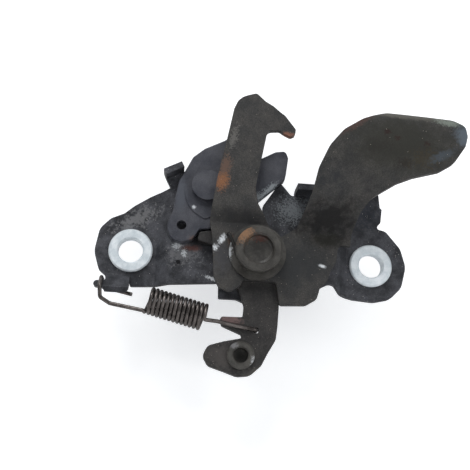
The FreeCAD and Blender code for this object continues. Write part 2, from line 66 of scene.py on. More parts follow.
Colour = tuple[float, float, float]
Point = tuple[float, float, float]
Socket = bpy.types.NodeSocket
Source = Union[bpy.types.NodeSocket, float, Colour]


def rgb(red: int, green: int, blue: int) -> Colour:
    """Turn an 8-bit display colour into a linear one.

    Args:
        red: Red from 0 to 255.
        green: Green from 0 to 255.
        blue: Blue from 0 to 255.

    Returns:
        The linear colour.
    """

    def linear(value: int) -> float:
        """One channel, from display to linear."""
        share = value / 255
        return share / 12.92 if share <= 0.04045 else ((share + 0.055) / 1.055) ** 2.4

    return linear(red), linear(green), linear(blue)


def in_metres(point: Point) -> Point:
    """A point given in millimetres, in metres."""
    return tuple(value * MM for value in point)


class Blend(Enum):
    """How one colour is laid over another."""

    MIX = "MIX"
    MULTIPLY = "MULTIPLY"


class Body(Enum):
    """The bodies that pieces of the scene ride on."""

    FRAME = "frame"
    CLAW = "claw"
    CATCH = "safety_catch"
    PAWL = "pawl"


@dataclass(frozen=True)
class Noise:
    """How finely and how roughly a noise is broken up."""

    detail: float
    roughness: float


@dataclass(frozen=True)
class Patch:
    """A stain, rub or rust bloom, or a painted shade or highlight, at one place on a piece.

    The centre and reach are in millimetres in the part's frame, and tilt turns the patch
    about Y, in degrees. At the reach the patch has faded out.
    """

    centre: Point
    reach: Point
    colour: Colour
    strength: float = 1.0
    breakup: float = 0.5
    grain: float = 900.0
    tilt: float = 0.0
    roughness: float = 0.75


@dataclass(frozen=True)
class Finish:
    """A worn metal finish with tone, grain, speckle and patches.

    The scales are in features to the metre.
    """

    name: str
    dark: Colour
    light: Colour
    speck: Colour
    speck_share: float = 0.3
    tone_scale: float = 120.0
    grain_scale: float = 2600.0
    grain_depth: float = 0.2
    metallic: float = 0.0
    specular: float = 0.25
    smooth: float = 0.42
    rough: float = 0.72
    bump: float = 0.25
    patches: tuple[Patch, ...] = ()


class Nodes:
    """A node tree that is built one socket at a time."""

    def __init__(self, tree: bpy.types.NodeTree) -> None:
        """Take over a tree.

        Args:
            tree: The tree to build.
        """
        self.nodes = tree.nodes
        self.links = tree.links

    def add(self, kind: str, **settings: str | bool) -> bpy.types.Node:
        """Add a node and set its properties.

        Args:
            kind: The node's type.
            **settings: Values for the node's own properties.

        Returns:
            The node.
        """
        node = self.nodes.new(kind)
        for key, value in settings.items():
            setattr(node, key, value)
        return node

    def wire(self, source: Source, target: Socket) -> None:
        """Link a socket to an input, or write a plain value into it.

        Args:
            source: A socket, a number or a colour.
            target: The input that takes it.
        """
        if isinstance(source, Socket):
            self.links.new(source, target)
        elif isinstance(source, tuple) and len(target.default_value) > len(source):
            target.default_value = (*source, 1.0)
        else:
            target.default_value = source


class Graph(Nodes):
    """A material's node tree."""

    patch_noise = Noise(5.0, 0.7)
    patch_fade = (0.0, 0.75)
    patch_raggedness = 4.0

    def __init__(self, name: str) -> None:
        """Start an empty material.

        Args:
            name: The material's name.
        """
        self.material = bpy.data.materials.new(name)
        self.material.use_nodes = True
        super().__init__(self.material.node_tree)
        self.nodes.clear()

    def maths(self, operation: str, first: Source, second: Source,
              clamp: bool = False) -> Socket:
        """Combine two values.

        Args:
            operation: The name of the operation.
            first: The first value.
            second: The second value.
            clamp: Whether the result is kept from 0 to 1.

        Returns:
            The result.
        """
        node = self.add("ShaderNodeMath", operation=operation, use_clamp=clamp)
        self.wire(first, node.inputs[0])
        self.wire(second, node.inputs[1])
        return node.outputs[0]

    def noise(self, where: Socket, scale: float, kind: Noise) -> Socket:
        """Make a noise from 0 to 1.

        Args:
            where: The coordinates.
            scale: Features to the metre.
            kind: The noise's detail and roughness.

        Returns:
            The noise.
        """
        node = self.add("ShaderNodeTexNoise")
        self.wire(where, node.inputs["Vector"])
        self.wire(scale, node.inputs["Scale"])
        self.wire(kind.detail, node.inputs["Detail"])
        self.wire(kind.roughness, node.inputs["Roughness"])
        return node.outputs["Fac"]

    def spread(self, value: Socket, limits: tuple[float, float],
               results: tuple[float, float] = (0.0, 1.0)) -> Socket:
        """Map a value smoothly from one range to another.

        Args:
            value: The value.
            limits: Where the change starts and ends.
            results: What comes out before the start and after the end.

        Returns:
            The mapped value.
        """
        node = self.add("ShaderNodeMapRange", interpolation_type="SMOOTHSTEP")
        self.wire(value, node.inputs["Value"])
        for key, number in zip(("From Min", "From Max", "To Min", "To Max"),
                               (*limits, *results)):
            self.wire(number, node.inputs[key])
        return node.outputs["Result"]

    def mix(self, share: Source, first: Source, second: Source,
            blend: Blend = Blend.MIX) -> Socket:
        """Lay one colour over another.

        Args:
            share: How much of the second colour shows.
            first: The colour below.
            second: The colour above.
            blend: How the second is laid over the first.

        Returns:
            The colour.
        """
        node = self.add("ShaderNodeMix", data_type="RGBA", blend_type=blend.value)
        for source, index in ((share, 0), (first, 6), (second, 7)):
            self.wire(source, node.inputs[index])
        return node.outputs[2]

    def mix_shaders(self, share: Socket, first: Socket, second: Socket) -> Socket:
        """Mix two shaders.

        Args:
            share: How much of the second shows.
            first: The first shader.
            second: The second shader.

        Returns:
            The mixed shader.
        """
        node = self.add("ShaderNodeMixShader")
        for index, source in enumerate((share, first, second)):
            self.wire(source, node.inputs[index])
        return node.outputs[0]

    def place(self) -> Socket:
        """Object coordinates."""
        return self.add("ShaderNodeTexCoord").outputs["Object"]

    def patch(self, where: Socket, patch: Patch) -> Socket:
        """Make the mask of one patch: an ellipsoid with a ragged edge.

        Args:
            where: Object coordinates.
            patch: The patch.

        Returns:
            The mask, up to the patch's strength.
        """
        node = self.add("ShaderNodeMapping", vector_type="TEXTURE")
        self.wire(where, node.inputs["Vector"])
        self.wire(in_metres(patch.centre), node.inputs["Location"])
        self.wire((0.0, math.radians(patch.tilt), 0.0), node.inputs["Rotation"])
        self.wire(in_metres(patch.reach), node.inputs["Scale"])
        length = self.add("ShaderNodeVectorMath", operation="LENGTH")
        self.wire(node.outputs[0], length.inputs[0])
        inside = self.maths("SUBTRACT", 1.0, length.outputs["Value"])
        centred = self.maths("SUBTRACT", self.noise(where, patch.grain, self.patch_noise), 0.5)
        ragged = self.maths("MULTIPLY", centred, patch.breakup * self.patch_raggedness)
        mask = self.spread(self.maths("ADD", inside, ragged), self.patch_fade)
        return self.maths("MULTIPLY", mask, patch.strength, clamp=True)

    def finished(self, shader: Socket) -> bpy.types.Material:
        """Wire a shader to the surface.

        Args:
            shader: The shader.

        Returns:
            The material.
        """
        output = self.add("ShaderNodeOutputMaterial")
        self.wire(shader, output.inputs["Surface"])
        return self.material


class WornMetal(Graph):
    """The material of a worn metal finish."""

    tone_noise = Noise(5.0, 0.65)
    grain_noise = Noise(6.0, 0.7)
    tone_limits = (0.34, 0.68)
    fleck_limits = (0.62, 0.78)
    fleck_widening = 0.1
    shade_limits = (0.25, 0.75)
    roughness_limits = (0.3, 0.7)
    grain_height = 0.6
    bump_depth = 0.3 * MM

    def __init__(self, finish: Finish) -> None:
        """Start the material and its two noises.

        Args:
            finish: The finish's colours, grain and patches.
        """
        super().__init__(finish.name)
        self.finish = finish
        self.where = self.place()
        self.tone = self.noise(self.where, finish.tone_scale, self.tone_noise)
        self.grain = self.noise(self.where, finish.grain_scale, self.grain_noise)

    def coat(self) -> Socket:
        """Make the coating's colour: two tones, flecks, and a shade that follows the grain.

        Returns:
            The colour.
        """
        finish = self.finish
        colour = self.mix(self.spread(self.tone, self.tone_limits), finish.dark, finish.light)
        low, high = self.fleck_limits
        flecks = self.spread(self.grain,
                             (low - finish.speck_share * self.fleck_widening, high))
        share = self.maths("MULTIPLY", flecks, finish.speck_share, clamp=True)
        colour = self.mix(share, colour, finish.speck)
        shade = self.spread(self.grain, self.shade_limits,
                            (1 - finish.grain_depth, 1 + finish.grain_depth))
        tint = self.add("ShaderNodeCombineColor")
        for socket in tint.inputs[:3]:
            self.wire(shade, socket)
        return self.mix(1.0, colour, tint.outputs[0], Blend.MULTIPLY)

    def relief(self) -> Socket:
        """Make the bump of the grain and the tone.

        Returns:
            The bent normal.
        """
        height = self.maths("ADD", self.maths("MULTIPLY", self.grain, self.grain_height),
                            self.tone)
        bump = self.add("ShaderNodeBump")
        self.wire(self.finish.bump, bump.inputs["Strength"])
        self.wire(self.bump_depth, bump.inputs["Distance"])
        self.wire(height, bump.inputs["Height"])
        return bump.outputs[0]

    def build(self) -> bpy.types.Material:
        """Lay the patches over the coat and wire the shader.

        Returns:
            The material.
        """
        finish = self.finish
        colour = self.coat()
        rough = self.spread(self.tone, self.roughness_limits, (finish.smooth, finish.rough))
        for patch in finish.patches:
            mask = self.patch(self.where, patch)
            colour = self.mix(mask, colour, patch.colour)
            step = self.maths("SUBTRACT", patch.roughness, rough)
            rough = self.maths("ADD", rough, self.maths("MULTIPLY", step, mask))
        shader = self.add("ShaderNodeBsdfPrincipled")
        for key, source in (("Base Color", colour), ("Roughness", rough),
                            ("Metallic", finish.metallic),
                            ("Specular IOR Level", finish.specular),
                            ("Normal", self.relief())):
            self.wire(source, shader.inputs[key])
        return self.finished(shader.outputs[0])


@functools.cache
def worn_metal(finish: Finish) -> bpy.types.Material:
    """The one material of a finish, made when it is first asked for."""
    return WornMetal(finish).build()


RUST = rgb(132, 100, 74)
BROWN = rgb(96, 76, 66)
# Red-brown painted shade.
RED_BROWN_SHADE = rgb(92, 52, 42)
BRIGHT_RUST = rgb(128, 88, 62)
# Pale grey for scuffs and for painted sheen on rubbed edges.
SCUFF_AND_SHEEN = rgb(140, 146, 150)
PALE = rgb(128, 128, 130)
# Near-white for chalky flecks and for a painted glint on the washer's edge.
CHALK_AND_GLINT = rgb(214, 218, 222)
# Near-black for painted shade and painted shadow.
PAINTED_SHADE_BLACK = rgb(15, 14, 16)

BASE_FINISH = Finish(
    "base_plate_finish", rgb(38, 39, 43), rgb(78, 79, 84), rgb(132, 132, 132),
    speck_share=0.35, tone_scale=150.0, grain_scale=2200.0, grain_depth=0.3, bump=0.4,
    patches=(
        # Striker scratches on the plate, partly real wear and partly painted reflections.
        Patch((16.0, -6.5, 20.0), (9.0, 4.0, 7.0), SCUFF_AND_SHEEN, 0.5, 1.2, 1500.0),
        Patch((-28.0, -6.5, -1.0), (8.0, 4.0, 5.0), PALE, 0.4, 1.2, 900.0),
        Patch((-29.9, -6.5, 2.1), (2.2, 3.0, 1.8), CHALK_AND_GLINT, 0.7, 0.9, 1600.0),
        Patch((-27.0, -6.5, -0.6), (1.6, 3.0, 1.8), CHALK_AND_GLINT, 0.7, 0.9, 1600.0),
        # Painted shadow in the hollow between the claw's tail and the pawl's nose, below the
        # claw's foot.
        Patch((-22.0, -6.5, 5.4), (7.0, 3.0, 4.6), PAINTED_SHADE_BLACK, 0.95, 0.15),
        # Red-brown painted shade along the lower edge of the painted shadow below the claw's
        # foot.
        Patch((-24.5, -6.5, 1.6), (5.0, 3.0, 1.6), RED_BROWN_SHADE, 0.7, 0.5),
        Patch((-15.4, -6.5, -10.2), (3.4, 3.0, 0.9), CHALK_AND_GLINT, 0.8, 0.9, 1500.0, 20.0),
        Patch((-46.0, -2.5, 13.5), (12.0, 4.0, 4.0), PALE, 0.55, 1.1, 700.0, -28.0),
        Patch((45.0, -4.0, 22.0), (9.0, 6.0, 10.0), rgb(34, 38, 46), 0.7, 0.5),
        # Painted shade: the down-facing underside of the bent left tab, in shadow.
        Patch((-29.0, -7.4, 25.0), (6.0, 3.0, 5.0), rgb(24, 25, 32), 0.6, 0.3),
    ))

CLAW_FINISH = Finish(
    "claw_finish", rgb(54, 56, 64), rgb(78, 79, 85), rgb(92, 93, 98),
    speck_share=0.15, tone_scale=90.0, grain_depth=0.2, smooth=0.38, rough=0.55, bump=0.1,
    patches=(
        # Painted highlight: the lighter band along the claw's rounded left edge.
        Patch((-29.6, -10.3, 22.0), (3.0, 3.0, 10.0), rgb(86, 90, 98), 0.6, 0.2),
        # The rubbed band on the claw's beak: partly real wear, partly painted highlight where
        # the bent edge catches the light.
        Patch((1.4, -10.3, 23.2), (4.4, 3.6, 2.4), SCUFF_AND_SHEEN, 0.9, 0.9, 1400.0, -42.0),
        Patch((5.6, -10.3, 27.0), (4.6, 3.6, 2.0), SCUFF_AND_SHEEN, 0.85, 1.0, 1400.0, -42.0),
        Patch((-28.7, -10.3, 9.7), (3.2, 3.0, 3.2), rgb(84, 84, 88), 0.4, 0.6),
        Patch((-24.4, -10.8, 17.2), (1.0, 3.0, 1.0), CHALK_AND_GLINT, 0.8, 0.6, 2000.0),
        Patch((-24.0, -10.3, 4.6), (2.4, 3.0, 1.4), BROWN, 0.6, 0.6),
    ))

CATCH_FINISH = Finish(
    "safety_catch_finish", rgb(48, 48, 48), rgb(68, 66, 64), rgb(104, 100, 94),
    speck_share=0.35, tone_scale=170.0, grain_scale=2200.0, grain_depth=0.42, bump=0.5,
    patches=(
        Patch((12.0, -13.1, -4.0), (26.0, 5.0, 12.0), rgb(42, 44, 46), 0.75, 0.3, 300.0),
        # Painted shade on the joggle below the hook arm, whose face looks downwards.
        Patch((-6.0, -14.0, 12.5), (14.0, 4.0, 6.5), rgb(36, 36, 38), 0.7, 0.3, 500.0),
        Patch((-12.5, -13.1, -3.0), (5.0, 3.0, 9.0), rgb(72, 72, 76), 0.6, 0.5, 700.0),
        Patch((52.0, -31.0, 42.0), (30.0, 9.0, 17.0), rgb(46, 46, 41), 0.85, 0.25, 300.0),
        # Painted shade: the paddle's lower part, darker where it faces down.
        Patch((26.0, -22.0, 27.0), (12.0, 12.0, 9.0), rgb(38, 41, 45), 0.8, 0.4, 300.0),
        # Painted shade at the paddle's root, where the bend faces down.
        Patch((27.5, -18.0, 14.5), (15.0, 12.0, 12.0), PAINTED_SHADE_BLACK, 0.85, 0.5, 200.0),
        # Painted shadow of the paddle's root on the plate below it.
        Patch((28.0, -13.1, 6.5), (9.0, 6.0, 4.0), rgb(26, 25, 18), 0.7, 0.4),
        # Painted highlight: the lighter band along the paddle's top rim, which faces up to the
        # light.
        Patch((55.0, -31.5, 53.6), (26.0, 6.0, 2.8), rgb(92, 90, 84), 0.8, 0.3, 700.0, 3.0),
        # Painted highlight at the right end of the top rim.
        Patch((71.0, -31.5, 51.4), (7.0, 6.0, 2.4), rgb(126, 134, 126), 0.8, 0.6, 1200.0, 8.0),
        # Painted highlight: bluish light along the paddle's right edge.
        Patch((77.5, -31.5, 46.0), (5.0, 6.0, 7.0), rgb(92, 102, 112), 0.8, 0.35, 500.0, -20.0),
        # Painted highlight: a bluish lighter streak lower down the right edge.
        Patch((68.0, -31.5, 37.5), (8.0, 6.0, 2.2), rgb(72, 80, 88), 0.7, 0.4, 500.0, -24.0),
        Patch((36.0, -31.5, 48.4), (11.0, 6.0, 2.0), rgb(86, 64, 58), 0.6, 0.5, 900.0, -36.0),
        Patch((47.0, -31.5, 45.6), (1.8, 6.0, 1.5), rgb(42, 26, 24), 0.8, 0.8, 1500.0),
        Patch((51.0, -31.5, 43.4), (1.6, 6.0, 1.3), rgb(44, 30, 26), 0.8, 0.8, 1500.0),
        Patch((62.5, -31.5, 42.0), (1.5, 6.0, 1.7), rgb(42, 28, 26), 0.8, 0.8, 1500.0),
        Patch((54.0, -31.5, 34.0), (4.0, 6.0, 2.6), rgb(40, 36, 32), 0.6, 0.9, 1200.0),
        Patch((44.0, -31.5, 40.5), (6.0, 6.0, 4.0), rgb(42, 40, 36), 0.5, 1.2, 1000.0),
        Patch((62.0, -31.5, 36.0), (7.0, 6.0, 5.0), rgb(60, 52, 34), 0.45, 1.2, 1100.0),
        Patch((-14.2, -16.2, 27.2), (3.6, 4.0, 5.6), BRIGHT_RUST, 1.0, 0.6, 1300.0, 12.0),
        Patch((-13.4, -16.2, 33.4), (3.2, 4.0, 6.0), BROWN, 0.9, 0.7, 1100.0, 12.0),
        Patch((-10.4, -16.2, 46.0), (1.8, 4.0, 6.0), rgb(126, 124, 120), 0.4, 1.3, 1500.0, 12.0),
        # Copper-coloured bare metal on the hook's tip, partly a painted highlight.
        Patch((11.4, -15.0, 48.6), (4.0, 3.0, 1.5), rgb(140, 96, 78), 0.85, 0.7, 1200.0),
        Patch((-12.8, -13.1, 4.3), (1.5, 2.0, 2.8), CHALK_AND_GLINT, 1.0, 0.6, 1700.0, 30.0),
        Patch((-15.4, -13.1, 0.8), (1.6, 2.0, 1.6), CHALK_AND_GLINT, 0.9, 0.8, 1300.0),
        Patch((26.4, -13.1, -3.9), (2.0, 2.0, 0.9), CHALK_AND_GLINT, 0.95, 0.25, 1300.0, 15.0),
        Patch((-8.6, -13.1, 3.8), (2.6, 2.0, 3.4), BROWN, 0.6, 0.8, 1300.0),
    ))

LEVER_FINISH = Finish(
    "pawl_lever_finish", rgb(44, 43, 43), rgb(62, 60, 59), rgb(104, 100, 96),
    speck_share=0.35, tone_scale=160.0, grain_scale=2200.0, grain_depth=0.38, bump=0.4,
    patches=(
        Patch((-8.0, -10.3, -26.6), (6.0, 4.0, 2.6), rgb(120, 98, 96), 0.8, 0.5),
        # Painted shadow: a dark line on the lever below the spring's hook, where the wire's
        # shadow falls.
        Patch((-8.0, -10.3, -28.2), (6.0, 4.0, 1.2), PAINTED_SHADE_BLACK, 0.7, 0.5),
        Patch((-10.0, -10.3, -40.5), (8.0, 4.0, 6.0), rgb(78, 74, 72), 0.6, 0.6),
        Patch((2.0, -10.3, -46.0), (8.0, 4.0, 3.0), rgb(84, 82, 78), 0.6, 0.6),
        # Painted shadow on the lever's top, under the edge of the safety catch.
        Patch((1.0, -10.3, -13.6), (9.0, 4.0, 2.4), rgb(28, 27, 27), 0.7, 0.6),
    ))

RIVET_FINISH = Finish(
    "rivet_finish", rgb(52, 50, 47), rgb(74, 72, 68), rgb(112, 108, 100),
    speck_share=0.25, tone_scale=240.0, grain_depth=0.16, specular=0.4, smooth=0.36, rough=0.62,
    bump=0.25,
    patches=(
        Patch((-5.0, -20.0, 5.0), (4.2, 4.0, 5.2), RUST, 1.0, 0.6, 1300.0, 40.0),
        # Painted shade in the head's dished recess.
        Patch((1.0, -18.2, 0.0), (6.0, 2.4, 6.0), rgb(30, 29, 27), 0.8, 0.3),
        Patch((1.4, -18.2, 4.0), (3.4, 3.0, 2.0), rgb(96, 48, 34), 0.5, 0.9, 1500.0),
        # Painted highlight: the bright thin arc along the washer's left edge.
        Patch((-10.0, -14.0, -1.0), (1.6, 2.0, 6.0), CHALK_AND_GLINT, 0.6, 0.7, 1200.0),
    ))

BUSH_FINISH = Finish(
    "bush_finish", rgb(56, 55, 52), rgb(76, 74, 70), rgb(120, 118, 112),
    speck_share=0.25, tone_scale=300.0, grain_depth=0.16, specular=0.4, smooth=0.36, rough=0.6,
    patches=(
        # Painted shade: the bush's bore, darkened where no light reaches into it.
        Patch((-3.5, -9.0, -39.5), (3.2, 3.4, 3.2), rgb(16, 13, 12), 1.0, 0.0),
        Patch((1.2, -12.0, -42.0), (1.2, 2.0, 3.0), CHALK_AND_GLINT, 0.6, 0.8, 1500.0),
        Patch((-6.4, -12.0, -36.0), (2.4, 2.0, 1.6), PALE, 0.7, 0.6, 1500.0),
    ))

ZINC_FINISH = Finish(
    "zinc_finish", rgb(206, 216, 222), rgb(236, 242, 246), rgb(176, 186, 192),
    speck_share=0.2, tone_scale=260.0, grain_depth=0.05, metallic=0.2, specular=0.5, smooth=0.3,
    rough=0.5, bump=0.08,
    patches=(
        # Painted shade on the bore walls and round the holes of the two collars.
        Patch((-48.0, -0.4, 0.0), (5.9, 2.9, 5.9), rgb(116, 124, 132), 1.0, 0.0),
        Patch((48.0, -0.4, 0.0), (5.9, 2.9, 5.9), rgb(116, 124, 132), 1.0, 0.0),
    ))

SPRING_FINISH = Finish(
    "spring_finish", rgb(70, 66, 64), rgb(110, 104, 102), rgb(170, 164, 160),
    speck_share=0.3, tone_scale=300.0, metallic=0.85, specular=0.5, smooth=0.22, rough=0.4,
    bump=0.08)

PIVOT_SPRING_FINISH = Finish(
    "pivot_spring_finish", rgb(36, 35, 34), rgb(50, 48, 46), rgb(80, 76, 72),
    tone_scale=300.0, smooth=0.4, rough=0.6)


@dataclass
class Camera:
    """The photograph's viewpoint, in millimetres and degrees."""

    azimuth: float = -4.2
    elevation: float = -16.19
    roll: float = 2.69
    distance: float = 300.0
    target: Point = (-6.94, 0.0, 10.06)
    lens: float = 56.77
    sensor: float = 36.0
    nearest: float = 10.0
    farthest: float = 20000.0

    def pose(self) -> Matrix:
        """Work out where the camera stands and how it is turned.

        Returns:
            The camera's matrix, in metres.
        """
        turn, tilt = math.radians(self.azimuth), math.radians(self.elevation)
        back = Vector((math.sin(turn) * math.cos(tilt), -math.cos(turn) * math.cos(tilt),
                       math.sin(tilt)))
        right = (-back).cross(Vector((0, 0, 1))).normalized()
        up = back.cross(right)
        lean = math.radians(self.roll)
        level = right * math.cos(lean) + up * math.sin(lean)
        upright = up * math.cos(lean) - right * math.sin(lean)
        matrix = Matrix((level, upright, back)).transposed().to_4x4()
        matrix.translation = Vector(self.target) * MM + back * self.distance * MM
        return matrix

    def build(self) -> None:
        """Add the camera and make it the scene's own."""
        data = bpy.data.cameras.new("photo_camera")
        data.lens = self.lens
        data.sensor_width = self.sensor
        data.clip_start = self.nearest * MM
        data.clip_end = self.farthest * MM
        camera = bpy.data.objects.new("photo_camera", data)
        bpy.context.scene.collection.objects.link(camera)
        camera.matrix_world = self.pose()
        bpy.context.scene.camera = camera
        log.info("photo_camera: %.0f mm away", self.distance)


@dataclass(frozen=True)
class Lamp:
    """A square soft lamp, in millimetres and watts."""

    name: str
    place: Point
    aim: Point
    size: float
    watts: float

    def build(self) -> None:
        """Add the lamp, turned towards its aim."""
        data = bpy.data.lights.new(self.name, "AREA")
        data.shape = "SQUARE"
        data.size = self.size * MM
        data.energy = self.watts
        lamp = bpy.data.objects.new(self.name, data)
        lamp.location = Vector(self.place) * MM
        way = Vector(self.aim) * MM - lamp.location
        lamp.rotation_euler = way.to_track_quat("-Z", "Y").to_euler()
        bpy.context.scene.collection.objects.link(lamp)
        log.info("%s: %.1f W", self.name, self.watts)


@dataclass
class Studio:
    """Pale sweep, soft lamps and an even sky. Lengths are in millimetres."""

    backdrop_y: float = 24.0
    floor_z: float = -130.0
    reach: float = 900.0
    sweep_radius: float = 90.0
    sweep_steps: int = 12
    card: Colour = (0.9, 0.9, 0.9)
    glow: Colour = (0.95, 0.97, 1.0)
    glow_strength: float = 0.45
    sky: Colour = (0.96, 0.98, 1.0)
    sky_strength: float = 0.4
    lamps: tuple[Lamp, ...] = (
        Lamp("key", (-160.0, -420.0, 520.0), (0.0, 0.0, 10.0), 320.0, 2.2),
        Lamp("fill", (380.0, -420.0, 120.0), (0.0, 0.0, 0.0), 400.0, 0.6),
    )

    def profile(self) -> list[tuple[float, float]]:
        """Draw the sweep's side view: floor, quarter round and backdrop.

        Returns:
            The line's points as Y and Z.
        """
        bend_y = self.backdrop_y - self.sweep_radius
        line = [(-self.reach, self.floor_z), (bend_y, self.floor_z)]
        for step in range(1, self.sweep_steps + 1):
            angle = math.pi / 2 * step / self.sweep_steps
            line.append((bend_y + self.sweep_radius * math.sin(angle),
                         self.floor_z + self.sweep_radius * (1 - math.cos(angle))))
        line.append((self.backdrop_y, self.reach))
        return line

    def sweep(self) -> bpy.types.Object:
        """Make the floor and the backdrop as one curved sheet.

        Returns:
            The sheet.
        """
        line = self.profile()
        points = [in_metres((side * self.reach, y, z)) for y, z in line for side in (-1, 1)]
        faces = [(2 * i, 2 * i + 1, 2 * i + 3, 2 * i + 2) for i in range(len(line) - 1)]
        mesh = bpy.data.meshes.new("sweep")
        mesh.from_pydata(points, [], faces)
        mesh.shade_smooth()
        mesh.materials.append(self.paper())
        sheet = bpy.data.objects.new("sweep", mesh)
        bpy.context.scene.collection.objects.link(sheet)
        log.info("sweep: %d faces", len(faces))
        return sheet

    def paper(self) -> bpy.types.Material:
        """Make white card that keeps the shadow and is clear to a view from behind.

        Returns:
            The card's material.
        """
        graph = Graph("white_card")
        matte = graph.add("ShaderNodeBsdfDiffuse")
        graph.wire(self.card, matte.inputs["Color"])
        glow = graph.add("ShaderNodeEmission")
        graph.wire(self.glow, glow.inputs["Color"])
        graph.wire(self.glow_strength, glow.inputs["Strength"])
        both = graph.add("ShaderNodeAddShader")
        graph.wire(matte.outputs[0], both.inputs[0])
        graph.wire(glow.outputs[0], both.inputs[1])
        seen = graph.add("ShaderNodeLightPath").outputs["Is Camera Ray"]
        behind = graph.add("ShaderNodeNewGeometry").outputs["Backfacing"]
        clear = graph.add("ShaderNodeBsdfTransparent")
        front = graph.mix_shaders(seen, matte.outputs[0], both.outputs[0])
        return graph.finished(graph.mix_shaders(graph.maths("MULTIPLY", seen, behind), front,
                                                clear.outputs[0]))

    def world(self) -> None:
        """Surround the scene with even white light."""
        world = bpy.data.worlds.new("studio")
        world.use_nodes = True
        background = world.node_tree.nodes["Background"]
        background.inputs["Color"].default_value = (*self.sky, 1.0)
        background.inputs["Strength"].default_value = self.sky_strength
        bpy.context.scene.world = world

    def build(self) -> None:
        """Add the sweep, the world and the lamps."""
        self.sweep()
        self.world()
        for lamp in self.lamps:
            lamp.build()
        bpy.context.scene.view_settings.view_transform = "Standard"


